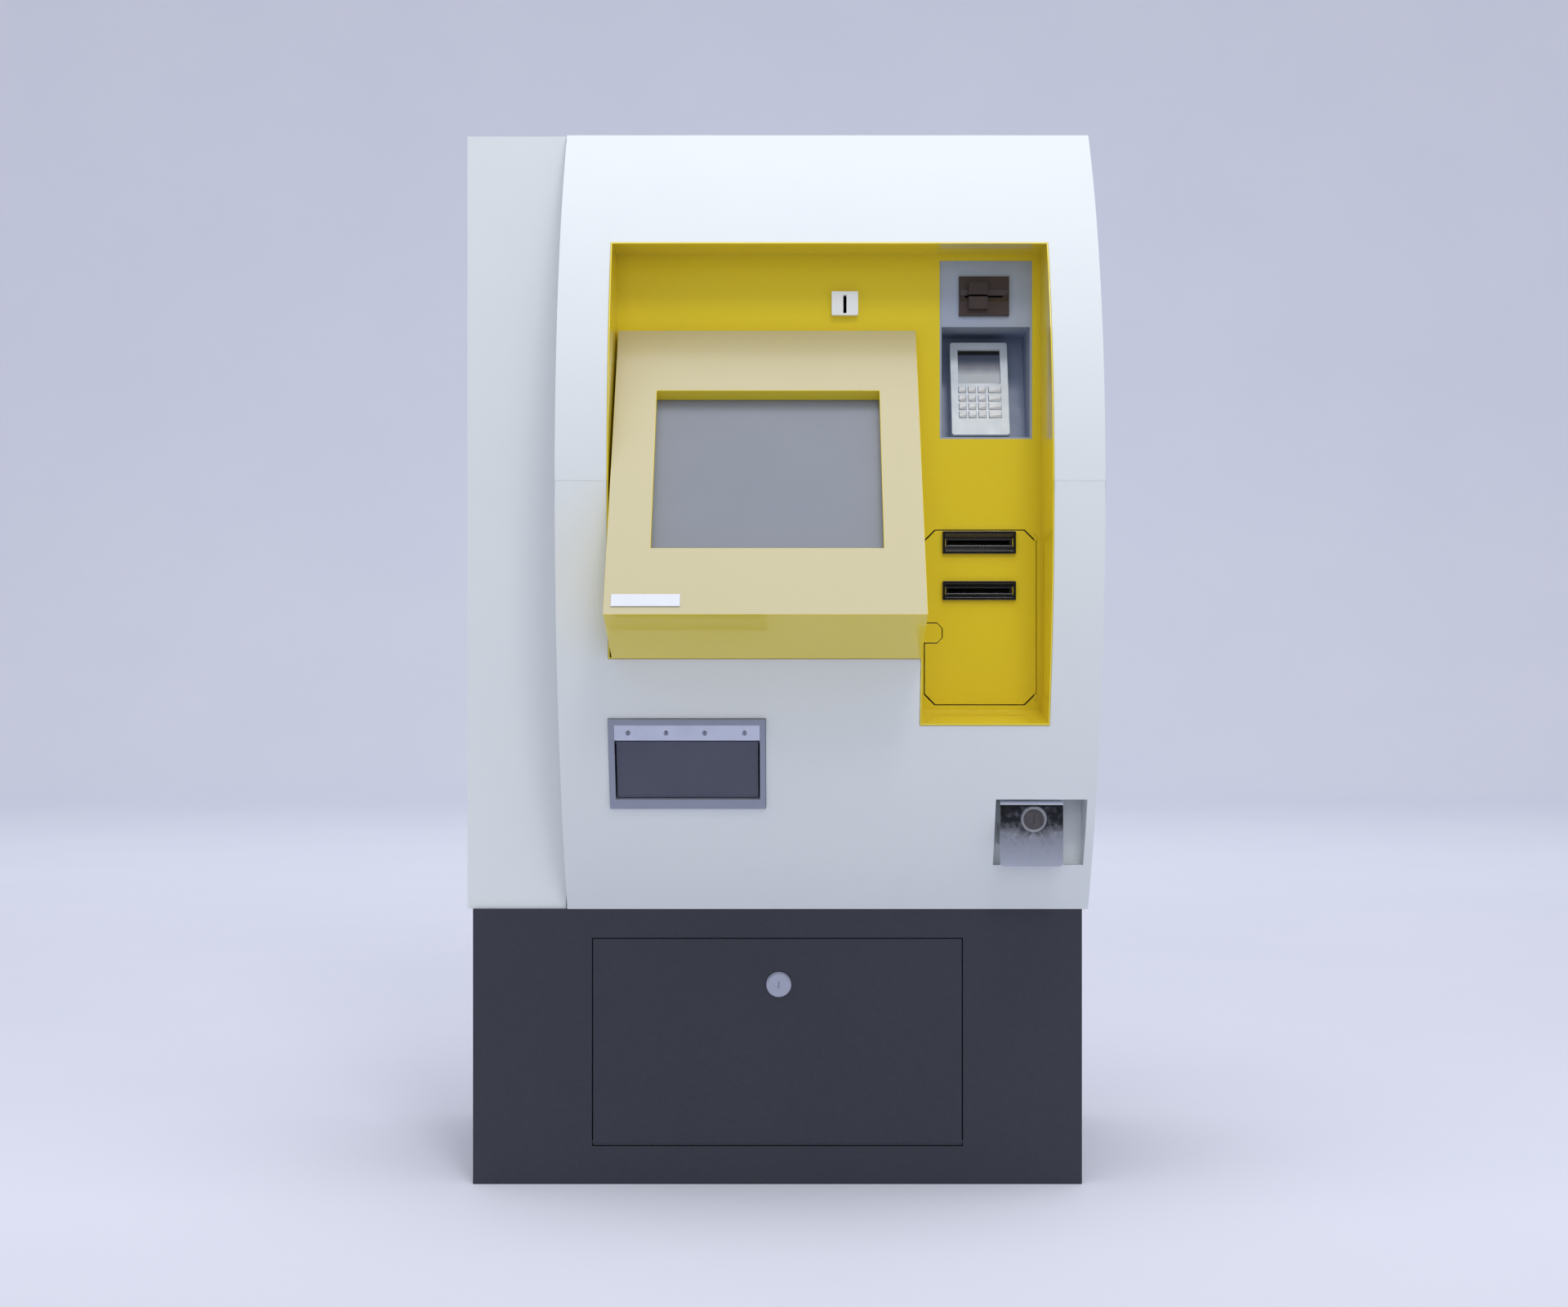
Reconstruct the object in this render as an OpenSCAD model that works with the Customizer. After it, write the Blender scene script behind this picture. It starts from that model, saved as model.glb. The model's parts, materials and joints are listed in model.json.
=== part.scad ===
// Free-standing self-service payment terminal: plinth, steel cabinet and a bowed
// service door that carries every user device. Millimetres, +Z up, front faces -Y.
// The origin is the centre of the plinth's footprint, on the floor.

/* [Plinth] */
// Width of the plinth
plinth_w = 930; // [900:1:946]
// Depth of the plinth, front to back
plinth_d = 520; // [500:1:560]
// Height of the plinth
plinth_h = 420; // [410:1:430]
// Width of the service hatch opening
hatch_w = 566; // [480:1:600]
// Height of the lower edge of the hatch opening
hatch_z0 = 58; // [50:1:80]
// Height of the upper edge of the hatch opening
hatch_z1 = 376; // [360:1:385]

/* [Cabinet] */
// Width of the white cabinet
cabinet_w = 948; // [946:1:952]
// Height of the top of the cabinet above the floor
cabinet_top = 1600; // [1590:1:1610]
// Thickness of the cabinet's sheet steel
sheet = 3; // [2.5:0.5:3]
// Width of the fixed strip on the hinge side
strip_w = 153; // [150:1:156]
// How far the fixed strip stands behind the plinth's face
strip_setback = 5; // [4:0.5:6]

/* [Bowed door] */
// How far the door bows out in front of the plinth's face
bow_depth = 183; // [175:1:190]
// Height of the door's foremost line
bow_z = 1060; // [1040:5:1080]
// How far the door's top edge stands in front of the plinth's face
bow_top_p = 4; // [3:0.5:8]
// How far the door's bottom edge stands in front of the plinth's face
bow_bottom_p = 0; // [0:0.5:3]
// Depth of the door's frame behind the plinth's face
frame_depth = 28; // [28:1:30]
// Width of the flange round the door's open back
flange_w = 30; // [28:1:32]

/* [Display housing] */
// Width of the display housing
display_w = 449; // [440:1:449]
// Height of the upper edge of the display face
display_top_z = 1297; // [1290:1:1300]
// Height of the lower edge of the display face
display_low_z = 864; // [860:1:868]
// How far the lower edge of the face stands in front of the plinth
display_low_p = 320; // [310:1:330]
// Width of the screen opening
screen_w = 329; // [320:1:334]
// Height of the screen opening, measured along the face
screen_h = 286; // [280:1:290]

/* [Fascia tray] */
// Distance of the tray's back plate in front of the plinth's face
tray_p = 25; // [24:1:26]
// Height of the tray's upper edge
tray_top = 1417; // [1412:1:1420]
// Height of the lower edge of the narrow column
column_low = 704; // [700:1:708]

/* [Payment terminal] */
// Width of the card payment terminal
terminal_w = 88; // [86:1:90]
// Length of the card payment terminal, measured along its face
terminal_h = 155; // [153:1:156]
// Lean of the terminal's face from the vertical, in degrees
terminal_lean = 18.4; // [18:0.2:19]
// Travel of a key
key_travel = 1.5; // [1:0.1:2]

/* [Hidden] */
$fn = 72;
bow_fn = 360;
cut = 1;
skin = 3;
plate = 3;
thin = 2;
half_w = cabinet_w / 2;
half_d = plinth_d / 2;

// y of a plane that stands p in front of the plinth's face
function fy(p) = -half_d - p;
// radius of the arc with half chord h and rise d
function arc_r(h, d) = (h * h + d * d) / (2 * d);
function unit(v) = v / norm(v);
// inward normal of the edge that leaves point i of a clockwise outline
function edge_normal(pts, i) =
    let (a = pts[i % len(pts)], b = pts[(i + 1) % len(pts)], d = unit(b - a)) [d[1], -d[0]];
// the outline moved inwards by t
function inset(pts, t) = [for (i = [0 : len(pts) - 1])
    let (n1 = edge_normal(pts, i + len(pts) - 1), n2 = edge_normal(pts, i))
    pts[i] + t * (n1 + n2) / (1 + n1 * n2)];
// a rectangle with cut corners
function chamfered(x0, x1, z0, z1, c) = [[x0 + c, z0], [x0, z0 + c], [x0, z1 - c], [x0 + c, z1],
    [x1 - c, z1], [x1, z1 - c], [x1, z0 + c], [x1 - c, z0]];

// door
door_x0 = strip_w - half_w;
door_x1 = half_w;
frame_x0 = door_x0 + 31;
strip_y = fy(-strip_setback);
lap_y = strip_y - 2;
door_back = fy(-frame_depth);
cabinet_front = door_back + 2;
upper_r = arc_r(cabinet_top - bow_z, bow_depth - bow_top_p);
lower_r = arc_r(bow_z - plinth_h, bow_depth - bow_bottom_p);
reach = 420;
door_hinge = [door_x0 - 25, strip_y + 20];
hinge_heights = [540, 1470];
hinge_pin_r = 6;
frame_gap = 6;
running = 0.05;

// fascia tray
tray_x0 = -246;
tray_x1 = 400;
tray_low = 802;
tray_y = fy(tray_p);
column_x0 = 209;
column_draft = 20;
rim = 1.5;
seam = 0.4;

// display housing, as points of (y, z)
display_x1 = 209;
display_x0 = display_x1 - display_w;
display_lean = atan((display_low_p - 40) / (display_top_z - display_low_z));
display_len = norm([display_low_p - 40, display_top_z - display_low_z]);
lip_z = 803;
lip_p = 165;
body_low = 806;
display_side = [[tray_y, body_low], [tray_y, display_top_z], [fy(40), display_top_z],
    [fy(display_low_p), display_low_z], [fy(lip_p), lip_z], [fy(lip_p - 7), lip_z],
    [fy(lip_p - 7), body_low]];
screen_x0 = display_x0 + 62;
screen_drop = 117;
screen_depth = 22;
glass_t = 4;

// devices on the fascia
insert_x = [246, 386];
insert_z = [1135, 1405];
insert_y = tray_y + plate;
insert_t = 2.5;
cavity_x = [249, 383];
cavity_z = [1138, 1305];
terminal_x = 310;
terminal_top = [fy(-39), 1290];
terminal_t = 46;
key_cols = [-26.9, -12.1, 3, 22.8];
key_widths = [10.5, 10.5, 10.5, 18.7];
key_rows = [80, 94, 108, 122];
key_h = 10;
key_rise = 2.5;
key_gap = 0.4;
window_w = 65;
window_h = 57;
window_drop = 12;
reader_x = [275, 351];
reader_z = [1321, 1381];
slot_w = 58;
coin_x = 102;
coin_z = [1321, 1357];
note_x = [250, 361];
note_upper_z = [961, 995];
note_lower_z = [891, 919.5];
panel_x = [223.5, 389.5];
panel_z = [733, 996];
panel_axis = [panel_x[1] + 0.9, tray_y];
panel_barrel_r = 1.6;
panel_pin_r = 0.9;
panel_barrel_z = [749, 980];
panel_knuckle = 8;

// delivery tray
delivery_c = [-132.5, 647];
delivery_w = 231;
delivery_h = 142;
delivery_lean = 19.7;
delivery_p = bow_depth - lower_r + sqrt(pow(lower_r, 2) - pow(bow_z - delivery_c[1], 2));
flap_axis = [4.5, 34];
flap_pin_r = 2;
strip_screws = [-86.5, -30.5, 26, 84.5];

// handle and lock
pocket_x = [325, 461];
pocket_z = [491, 593];
pocket_y = fy(20);
handle_x = [332, 426];
handle_z = [492, 591];
handle_y = fy(82);
handle_t = 4;
handle_axis = [338, handle_y + 8];
lock_x = 382;
lock_z = 563;
barrel_r = 18.3;
plug_r = 15.3;
gear_module = 1.5;
gear_teeth = 14;
pitch_r = gear_module * gear_teeth / 2;
tooth_pitch = PI * gear_module;
rod_y = [fy(-6), fy(-14)];
upper_rod_x = [396, 406];
lower_rod_x = [358, 368];
upper_keep_z = 1490;
lower_keep_z = 478;

// hatch
hatch_gap = 1.5;
hatch_axis = [fy(-3), hatch_z0 + 6.5];
hatch_pin_r = 2.5;
hatch_lock_z = 305;
hatch_lock_x = 2;
hatch_lock_r = 17;

// ---- shared shapes ----

// box between two values on each axis
module block(x0, x1, y0, y1, z0, z1) {
    translate([x0, y0, z0])
        cube([x1 - x0, y1 - y0, z1 - z0]);
}

// round bar along X, Y or Z
module x_bar(r, y, z, x0, x1) {
    translate([x0, y, z])
        rotate([0, 90, 0])
            cylinder(r = r, h = x1 - x0);
}

module y_bar(r, x, z, y0, y1) {
    translate([x, y1, z])
        rotate([90, 0, 0])
            cylinder(r = r, h = y1 - y0);
}

module z_bar(r, x, y, z0, z1) {
    translate([x, y, z0])
        cylinder(r = r, h = z1 - z0);
}

// outline of (y, z) points drawn along X
module x_prism(points, x0, x1) {
    translate([x0, 0, 0])
        rotate([90, 0, 90])
            linear_extrude(x1 - x0)
                polygon(points);
}

// outline of (x, z) points drawn along Y
module y_prism(points, y0, y1) {
    translate([0, y1, 0])
        rotate([90, 0, 0])
            linear_extrude(y1 - y0)
                polygon(points);
}

// rectangle of (x, z) with round corners, drawn along Y
module y_pad(x0, x1, y0, y1, z0, z1, r) {
    block(x0 + r, x1 - r, y0, y1, z0, z1);
    block(x0, x1, y0, y1, z0 + r, z1 - r);
    for (x = [x0 + r, x1 - r])
        for (z = [z0 + r, z1 - r])
            y_bar(r, x, z, y0, y1);
}

// solid behind the bowed front, grown outwards by grow
module bow(grow, x0, x1, y_back, z0, z1) {
    intersection() {
        x_bar(upper_r + grow, fy(bow_depth) + upper_r, bow_z, x0, x1, $fn = bow_fn);
        block(x0, x1, fy(reach), y_back, bow_z, z1);
    }
    intersection() {
        x_bar(lower_r + grow, fy(bow_depth) + lower_r, bow_z, x0, x1, $fn = bow_fn);
        block(x0, x1, fy(reach), y_back, z0, bow_z);
    }
}

// the L-shaped outline of the recess, shrunk by t on every side
module recess(t, y0, y1) {
    block(tray_x0 + t, tray_x1 - t, y0, y1, tray_low + t, tray_top - t);
    block(column_x0 + t, tray_x1 - t, y0, y1, column_low + t, tray_top - t);
}

// frame of reference on the display's face: origin at its top edge
module on_display() {
    translate([0, fy(40), display_top_z])
        rotate([-display_lean, 0, 0])
            children();
}

// frame of reference on the payment terminal's face: origin at its top centre
module on_terminal() {
    translate([terminal_x, terminal_top[0], terminal_top[1]])
        rotate([-terminal_lean, 0, 0])
            children();
}

// frame of reference at the centre of the delivery frame
module on_delivery() {
    translate([delivery_c[0], fy(delivery_p), delivery_c[1]])
        rotate([delivery_lean, 0, 0])
            children();
}

// ---- plinth ----

anchor_x = 400;
anchor_y = 200;
anchor_r = 7;
plinth_half = plinth_w / 2;
service_x = [-380, 60];
service_y = 150;
gland_x = -300;
gland_z = 120;
gland_r = 11;
gland_out_r = 20;

module plinth_cabinet() {
    color("#3a3d4a")
        difference() {
            union() {
                difference() {
                    block(-plinth_half, plinth_half, -half_d, half_d, 0, plinth_h);
                    block(sheet - plinth_half, plinth_half - sheet, sheet - half_d,
                        half_d - sheet, 4, plinth_h - sheet);
                    block(service_x[0], service_x[1], -service_y, service_y,
                        plinth_h - sheet - cut, plinth_h + cut);
                    block(-390, -210, -100, 100, -cut, 5);
                }
                for (s = [-1, 1])
                    translate([s * (hatch_w / 2 + 7), 0, 0])
                        block(-7, 7, sheet - half_d, 14 - half_d, hatch_z0, hatch_z0 + 14);
                block(hatch_lock_x - 22, hatch_lock_x + 22, sheet - half_d, 23.5 - half_d,
                    hatch_z1 + 2, hatch_z1 + 20);
            }
            block(-hatch_w / 2, hatch_w / 2, -half_d - cut, sheet - half_d + 12, hatch_z0,
                hatch_z1);
            x_bar(hatch_pin_r + running, hatch_axis[0], hatch_axis[1], -hatch_w / 2 - 15,
                hatch_w / 2 + 15);
            for (x = [-anchor_x, anchor_x])
                for (y = [-anchor_y, anchor_y])
                    z_bar(anchor_r, x, y, -cut, 5);
            y_bar(gland_r + 3, gland_x, gland_z, half_d - sheet - cut, half_d + cut);
        }
}

module cable_gland() {
    color("#2b2d33")
        difference() {
            union() {
                y_bar(gland_out_r, gland_x, gland_z, half_d, half_d + 8);
                y_bar(gland_r + 3, gland_x, gland_z, half_d - 12, half_d + 20);
                y_bar(gland_out_r, gland_x, gland_z, half_d - 12, half_d - sheet);
            }
            y_bar(gland_r, gland_x, gland_z, half_d - 13, half_d + 21);
        }
}

module power_unit() {
    color("#7d828c") {
        difference() {
            block(-180, 120, 40, 200, 4, 150);
            for (i = [0 : 5])
                block(-150 + i * 40, -130 + i * 40, 38, 50, 40, 120);
        }
        block(150, 230, 60, 160, 4, 110);
    }
}

// ---- cabinet ----

vent_x = 280;
vent_z = [620, 1380];
vent_lap = 25;
inner_lip = 28;

module cabinet_shell() {
    color("#cfd4da")
        difference() {
            union() {
                block(-half_w, half_w, cabinet_front, half_d, plinth_h, cabinet_top);
                block(-half_w, frame_x0 - frame_gap, strip_y + thin, cabinet_front + cut, plinth_h,
                    cabinet_top);
            }
            block(sheet - half_w, half_w - sheet, cabinet_front + sheet, half_d - sheet,
                plinth_h + sheet, cabinet_top - sheet);
            block(sheet - half_w, frame_x0, strip_y, cabinet_front + sheet + cut,
                plinth_h + sheet, cabinet_top - sheet);
            block(sheet - half_w, half_w - inner_lip, cabinet_front - cut,
                cabinet_front + sheet + cut, plinth_h + inner_lip, cabinet_top - inner_lip);
            block(-vent_x, vent_x, half_d - sheet - cut, half_d + cut, vent_z[0], vent_z[1]);
            block(service_x[0], service_x[1], -service_y, service_y, plinth_h - cut,
                plinth_h + sheet + cut);
            for (x = [-vent_x - 12, vent_x + 12])
                for (z = [vent_z[0] + 20, 1000, vent_z[1] - 20])
                    y_bar(2.7, x, z, half_d - sheet - cut, half_d + cut);
        }
}

module side_fascia() {
    color("#c5c9d1") {
        block(-half_w, door_x0 - 2, strip_y, strip_y + thin, plinth_h, cabinet_top);
        block(sheet - half_w, sheet - half_w + thin, strip_y + thin, strip_y + 22,
            plinth_h + sheet, cabinet_top - sheet);
    }
}

module rear_vent_panel() {
    louvre = 34;
    color("#c5c9d1")
        difference() {
            block(-vent_x - vent_lap, vent_x + vent_lap, half_d, half_d + thin,
                vent_z[0] - vent_lap, vent_z[1] + vent_lap);
            for (z = [vent_z[1] - 60 : -louvre : vent_z[1] - 60 - 6 * louvre])
                for (x = [-170, 0, 170])
                    block(x - 65, x + 65, half_d - cut, half_d + thin + cut, z, z + 8);
            for (z = [vent_z[0] + 60 : louvre : vent_z[0] + 60 + 4 * louvre])
                for (x = [-170, 0, 170])
                    block(x - 65, x + 65, half_d - cut, half_d + thin + cut, z, z + 8);
            for (x = [-vent_x - 12, vent_x + 12])
                for (z = [vent_z[0] + 20, 1000, vent_z[1] - 20])
                    y_bar(2.7, x, z, half_d - cut, half_d + thin + cut);
        }
}

module case_screws() {
    color("#9aa0aa")
        for (x = [-vent_x - 12, vent_x + 12])
            for (z = [vent_z[0] + 20, 1000, vent_z[1] - 20]) {
                y_bar(5.5, x, z, half_d + thin, half_d + thin + 3);
                y_bar(2.5, x, z, half_d - 8, half_d + thin + cut);
            }
}

shelf_z = 700;

module equipment_shelf() {
    color("#8a8f99") {
        block(sheet - half_w, half_w - sheet, 0, half_d - sheet, shelf_z, shelf_z + thin);
        block(sheet - half_w, half_w - sheet, 0, thin, shelf_z - 25, shelf_z);
    }
}

module control_computer() {
    color("#2f3238")
        difference() {
            block(-170, 130, 40, 230, shelf_z + thin, shelf_z + thin + 90);
            for (i = [0 : 9])
                block(-150 + i * 28, -138 + i * 28, 50, 220, shelf_z + 80, shelf_z + 95);
        }
}

module coin_cash_box() {
    color("#6d727c")
        difference() {
            union() {
                block(90, 290, 20, 220, plinth_h + sheet, plinth_h + 190);
                block(150, 230, 8, 22, plinth_h + 80, plinth_h + 100);
            }
            block(160, 220, 12, 20, plinth_h + 78, plinth_h + 102);
        }
}

module hinge_brackets() {
    color("#8a8f99")
        for (z = hinge_heights)
            difference() {
                union() {
                    for (dz = [-24, 19])
                        block(sheet - half_w + thin, door_hinge[0] + 12, door_hinge[1] - 12,
                            door_hinge[1] + 22, z + dz, z + dz + 5);
                    block(sheet - half_w + thin, sheet - half_w + 8, door_hinge[1] - 12,
                        door_hinge[1] + 22, z - 24, z + 24);
                }
                z_bar(hinge_pin_r + running, door_hinge[0], door_hinge[1], z - 30, z + 30);
            }
}

module hinge_pins() {
    color("#b9bdc4")
        for (z = hinge_heights) {
            z_bar(hinge_pin_r, door_hinge[0], door_hinge[1], z - 28, z + 24);
            z_bar(hinge_pin_r + 2.5, door_hinge[0], door_hinge[1], z + 24, z + 28);
        }
}

module lock_keepers() {
    keep_y = [fy(0), cabinet_front + 9];
    color("#8a8f99") {
        difference() {
            block(390, 412, keep_y[0], keep_y[1], upper_keep_z, upper_keep_z + 6);
            block(upper_rod_x[0] - 1, upper_rod_x[1] + 1, rod_y[0] - 1, rod_y[1] + 1,
                upper_keep_z - cut, upper_keep_z + 7);
        }
        block(390, half_w - sheet, keep_y[1] - 4, keep_y[1], upper_keep_z - 12, upper_keep_z);
        difference() {
            block(351, 375, keep_y[0], keep_y[1], lower_keep_z, lower_keep_z + 6);
            block(lower_rod_x[0] - 1, lower_rod_x[1] + 1, rod_y[0] - 1, rod_y[1] + 1,
                lower_keep_z - cut, lower_keep_z + 7);
        }
        block(351, 375, keep_y[1] - 4, keep_y[1], plinth_h + sheet, lower_keep_z);
    }
}

// ---- plinth hatch ----

module hatch_panel() {
    x1 = hatch_w / 2 - hatch_gap;
    z0 = hatch_z0 + hatch_gap;
    z1 = hatch_z1 - hatch_gap;
    color("#3c3f4c") {
        difference() {
            union() {
                block(-x1, x1, -half_d, sheet - half_d, z0 + 3, z1);
                block(-x1, x1, 0.5 - half_d, sheet - half_d, z0, z0 + 4);
                x_bar(3, hatch_axis[0], hatch_axis[1], -x1, x1);
                block(-x1, sheet - x1, sheet - half_d, 12 - half_d, z0 + 20, z1);
                block(x1 - sheet, x1, sheet - half_d, 12 - half_d, z0 + 20, z1);
                block(-x1, x1, sheet - half_d, 12 - half_d, z1 - sheet, z1);
            }
            y_bar(14.5, hatch_lock_x, hatch_lock_z, -half_d - cut, 5 - half_d);
        }
        x_bar(hatch_pin_r, hatch_axis[0], hatch_axis[1], -x1 - 12, x1 + 12);
    }
}

module hatch_lock_barrel() {
    color("#a9adb6")
        difference() {
            union() {
                y_bar(14.5, hatch_lock_x, hatch_lock_z, -half_d, 24 - half_d);
                y_bar(19, hatch_lock_x, hatch_lock_z, sheet - half_d, sheet - half_d + 6);
                y_bar(hatch_lock_r + 2, hatch_lock_x, hatch_lock_z, -half_d - 2, -half_d);
            }
            y_bar(10.05, hatch_lock_x, hatch_lock_z, -half_d - 3, 25 - half_d);
        }
}

module hatch_lock_plug() {
    color("#c9ccd6")
        difference() {
            union() {
                y_bar(hatch_lock_r, hatch_lock_x, hatch_lock_z, -half_d - 5, -half_d - 2.05);
                y_bar(10, hatch_lock_x, hatch_lock_z, -half_d - 5, 30 - half_d);
                block(hatch_lock_x - 12, hatch_lock_x + 92, 25 - half_d, 29 - half_d,
                    hatch_lock_z - 11, hatch_lock_z + 11);
            }
            block(hatch_lock_x - 1, hatch_lock_x + 1, -half_d - 6, -half_d - 1,
                hatch_lock_z - 5, hatch_lock_z + 5);
        }
}

// ---- bowed service door ----

// the skin's opening for the delivery frame
module delivery_cut() {
    on_delivery()
        block(-delivery_w / 2 - seam, delivery_w / 2 + seam, -30, 40,
            -delivery_h / 2 - seam, delivery_h / 2 + seam);
}

module door_hollow() {
    bow(-skin, door_x0 + skin, door_x1 - skin, lap_y - thin, plinth_h + skin,
        cabinet_top - skin);
    bow(-skin, frame_x0 + thin, door_x1 - skin, door_back - thin, plinth_h + skin,
        cabinet_top - skin);
    block(frame_x0 + flange_w, door_x1 - flange_w, door_back - thin - cut, door_back + cut,
        plinth_h + flange_w, cabinet_top - flange_w);
}

module door_shell() {
    wall = 2.5;
    color("#d5dadd")
        difference() {
            union() {
                difference() {
                    union() {
                        bow(0, door_x0, door_x1, lap_y, plinth_h, cabinet_top);
                        block(frame_x0, door_x1, lap_y - cut, door_back, plinth_h, cabinet_top);
                    }
                    door_hollow();
                    recess(0, fy(reach), tray_y + cut);
                    delivery_cut();
                }
                intersection() {
                    bow(0, door_x0, door_x1, pocket_y + wall, plinth_h, cabinet_top);
                    block(pocket_x[0] - wall, pocket_x[1] + wall, fy(reach), pocket_y + wall,
                        pocket_z[0] - wall, pocket_z[1] + wall);
                }
            }
            difference() {
                block(pocket_x[0], pocket_x[1], fy(reach), pocket_y, pocket_z[0], pocket_z[1]);
                z_bar(5, handle_axis[0], handle_axis[1], 522, 548);
                block(handle_axis[0] - 4, handle_axis[0] + 4, handle_axis[1], pocket_y + cut,
                    522, 548);
            }
            z_bar(2.5 + running, handle_axis[0], handle_axis[1], 521, 549);
            y_bar(barrel_r, lock_x, lock_z, pocket_y - cut, pocket_y + wall + cut);
        }
}

module hinge_arms() {
    x = door_hinge[0];
    y = door_hinge[1];
    seat = door_back;
    color("#9aa0aa")
        for (z = hinge_heights)
            difference() {
                union() {
                    z_bar(11, x, y, z - 18, z + 18);
                    block(x - 8, x + 6, y, y + 46, z - 18, z + 18);
                    block(x - 8, x + 88, y + 36, y + 46, z - 18, z + 18);
                    block(x + 60, x + 88, seat, y + 46, z - 18, z + 18);
                }
                z_bar(hinge_pin_r + running, x, y, z - 19, z + 19);
            }
}

// ---- fascia ----

module panel_outline(grow, y0, y1) {
    c = 16;
    x0 = panel_x[0] - grow;
    difference() {
        y_prism(chamfered(x0, panel_x[1] + grow, panel_z[0] - grow, panel_z[1] + grow, c),
            y0, y1);
        y_prism([[x0 - cut, 825 + grow], [242, 825 + grow], [250.5 - grow, 834],
            [250.5 - grow, 848], [242, 857 - grow], [x0 - cut, 857 - grow]], y0 - cut, y1 + cut);
    }
}

module fascia_tray() {
    back = tray_y + plate;
    knuckle_z = [panel_barrel_z[0] - 1 - panel_knuckle, panel_barrel_z[1] + 1];
    color("#c0ab2c")
        difference() {
            union() {
                difference() {
                    intersection() {
                        bow(rim, tray_x0, tray_x1, back, column_low, tray_top);
                        recess(seam, fy(reach), back);
                    }
                    intersection() {
                        recess(seam + thin, fy(reach), tray_y);
                        x_prism([[fy(reach), column_low - cut - 40],
                            [tray_y, column_low + column_draft],
                            [tray_y + cut, column_low + column_draft],
                            [tray_y + cut, tray_top], [fy(reach), tray_top]],
                            tray_x0, tray_x1);
                    }
                    block(display_x0 + 15, display_x1 - 15, tray_y - cut, back + cut, 830, 1270);
                    block(coin_x - 3, coin_x + 3, tray_y - cut, back + cut, 1322, 1352);
                    block(insert_x[0], insert_x[1], tray_y - cut, back + cut, insert_z[0],
                        insert_z[1]);
                    panel_outline(1.6, tray_y - cut, back + cut);
                    block(panel_x[1], panel_axis[0] + panel_barrel_r + 0.4, tray_y - cut,
                        back + cut, panel_barrel_z[0] - 1, panel_barrel_z[1] + 1);
                }
                for (z = knuckle_z)
                    block(panel_axis[0] - 1.1, panel_axis[0] + 2.5, tray_y - 1.7, back, z,
                        z + panel_knuckle);
            }
            z_bar(panel_pin_r + running, panel_axis[0], panel_axis[1], knuckle_z[0] - cut,
                knuckle_z[1] + panel_knuckle + cut);
        }
}

module display_housing() {
    duct = 2.5;
    color("#d9d0b2")
        difference() {
            union() {
                difference() {
                    x_prism(display_side, display_x0, display_x1);
                    x_prism(inset(display_side, -sheet), display_x0 + sheet,
                        display_x1 - sheet);
                    block(display_x0 + 15, display_x1 - 15, tray_y - 5, tray_y + cut, 830, 1270);
                }
                on_display()
                    block(screen_x0 - duct, screen_x0 + screen_w + duct, 0, screen_depth,
                        -screen_drop - screen_h - duct, duct - screen_drop);
            }
            on_display()
                block(screen_x0, screen_x0 + screen_w, -cut, screen_depth + cut,
                    -screen_drop - screen_h, -screen_drop);
        }
}

module display_glass() {
    color("#9fa3ae")
        on_display()
            block(screen_x0 - 2, screen_x0 + screen_w + 2, screen_depth, screen_depth + glass_t,
                -screen_drop - screen_h - 2, 2 - screen_drop);
}

module display_panel() {
    color("#25272c")
        on_display() {
            block(screen_x0 - 8, screen_x0 + screen_w + 8, screen_depth + glass_t,
                screen_depth + glass_t + 14, -screen_drop - screen_h - 8, 8 - screen_drop);
            block(screen_x0 + 60, screen_x0 + screen_w - 60, screen_depth + glass_t + 14,
                screen_depth + glass_t + 28, -screen_drop - screen_h + 50, -screen_drop - 50);
        }
}

module nameplate() {
    color("#e6e8ec")
        on_display()
            block(display_x0 + 10, display_x0 + 106, -2, 0, -503, -483);
}

module coin_slot_bezel() {
    color("#e4e6ea")
        difference() {
            y_pad(coin_x - 20, coin_x + 20, tray_y - 11, tray_y, coin_z[0], coin_z[1], 2);
            block(coin_x - 2.5, coin_x + 2.5, tray_y - 12, tray_y + cut, 1324, 1351);
        }
}

module coin_validator() {
    front = tray_y + plate;
    color("#2b2d33")
        difference() {
            block(coin_x - 32, coin_x + 32, front, front + 60, 1282, 1400);
            block(coin_x - 2.5, coin_x + 2.5, front - cut, front + 45, 1290, 1351);
        }
}

// the reader insert's cavity, as (y, z): its back lies against the terminal's back
cavity_back = [terminal_top[0] + terminal_t * cos(terminal_lean),
    terminal_top[1] - terminal_t * sin(terminal_lean)];
cavity_side = [[insert_y, cavity_z[0]], [insert_y, cavity_z[1]],
    [cavity_back[0] + (cavity_z[1] - cavity_back[1]) * tan(terminal_lean), cavity_z[1]],
    [cavity_back[0] - (cavity_back[1] - cavity_z[0]) * tan(terminal_lean), cavity_z[0]]];

module reader_insert() {
    lap = 6;
    color("#8f96aa")
        difference() {
            union() {
                block(insert_x[0] - lap, insert_x[1] + lap, insert_y, insert_y + insert_t,
                    insert_z[0] - lap, insert_z[1] + lap);
                x_prism(inset(cavity_side, -insert_t), cavity_x[0] - insert_t,
                    cavity_x[1] + insert_t);
            }
            x_prism(cavity_side, cavity_x[0], cavity_x[1]);
            block(cavity_x[0], cavity_x[1], insert_y - 5, insert_y + cut, cavity_z[0],
                cavity_z[1]);
            block(cavity_x[0] - 5, cavity_x[1] + 5, insert_y - 5, insert_y, cavity_z[0] - 5,
                cavity_z[1] + 5);
            block(reader_x[0] + 4, reader_x[1] - 4, insert_y - cut, insert_y + insert_t + cut,
                reader_z[0] + 4, reader_z[1] - 4);
        }
}

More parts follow.
